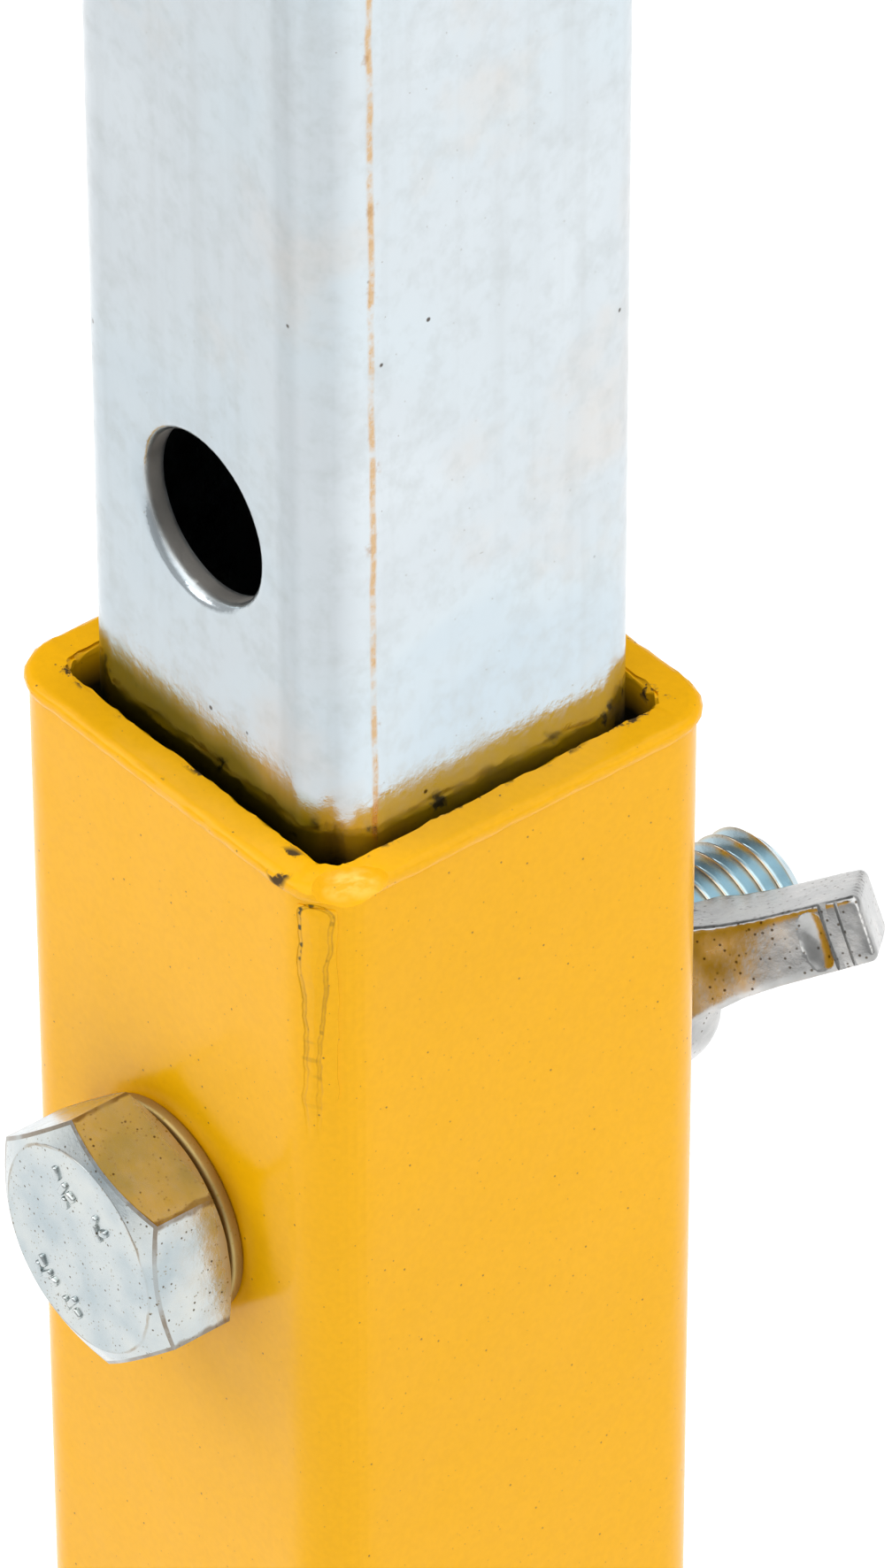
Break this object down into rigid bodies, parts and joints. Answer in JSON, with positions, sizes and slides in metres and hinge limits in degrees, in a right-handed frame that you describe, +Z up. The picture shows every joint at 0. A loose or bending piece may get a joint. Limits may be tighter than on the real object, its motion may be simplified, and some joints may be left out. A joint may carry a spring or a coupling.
{
  "type": "retractable bollard",
  "caption": "Square telescoping bollard: painted sleeve on a gusseted base plate, zinc plated inner post with cross holes, held by a hex bolt and wing nut.",
  "frame": {"origin": "middle of the base plate's underside, on the ground", "axes": "+Z up along the post; the cross bolt lies along Y with its head towards -Y and its wing nut towards +Y"},
  "size_m": [0.15, 0.15, 1.174],
  "materials": {
    "yellow_paint": "glossy powder coat over steel, with chips at the rim",
    "post_zinc": "electro zinc plated steel tube, pale bluish, with a thin rust line",
    "bolt_zinc": "blue passivated zinc on forged steel",
    "cast_zinc": "zinc plated malleable casting",
    "black_plastic": "moulded polyethylene"
  },
  "bodies": {
    "sleeve": {"outer_tube": "yellow_paint", "rim_weld": "yellow_paint", "base_plate": "yellow_paint", "gusset_front": "yellow_paint", "gusset_back": "yellow_paint", "gusset_left": "yellow_paint", "gusset_right": "yellow_paint", "foot_welds": "yellow_paint", "gusset_welds": "yellow_paint"},
    "inner_post": {"inner_tube": "post_zinc", "top_cap": "black_plastic", "glide_foot": "black_plastic"},
    "cross_bolt": {"hex_bolt": "bolt_zinc", "head_washer": "bolt_zinc"},
    "washer": {"nut_washer": "bolt_zinc"},
    "wing_nut": {"wing_nut": "cast_zinc"}
  },
  "joints": [
    {"name": "telescope", "type": "slide", "parent": "sleeve", "child": "inner_post", "axis": [0, 0, 1], "range_m": [-0.492, 0]},
    {"name": "bolt_draw", "type": "slide", "parent": "sleeve", "child": "cross_bolt", "axis": [0, -1, 0], "range_m": [0, 0.082]},
    {"name": "nut_travel", "type": "slide", "parent": "sleeve", "child": "washer", "axis": [0, 1, 0], "range_m": [0, 0.0281]},
    {"name": "wing_nut_spin", "type": "hinge", "parent": "washer", "child": "wing_nut", "pos_m": [0, 0.0275, 0.62], "axis": [0, 1, 0], "range_deg": [0, 5040]}
  ],
  "couplings": [
    {"joint": "nut_travel", "follows": "wing_nut_spin", "m_per_rad": 0.00031831}
  ]
}
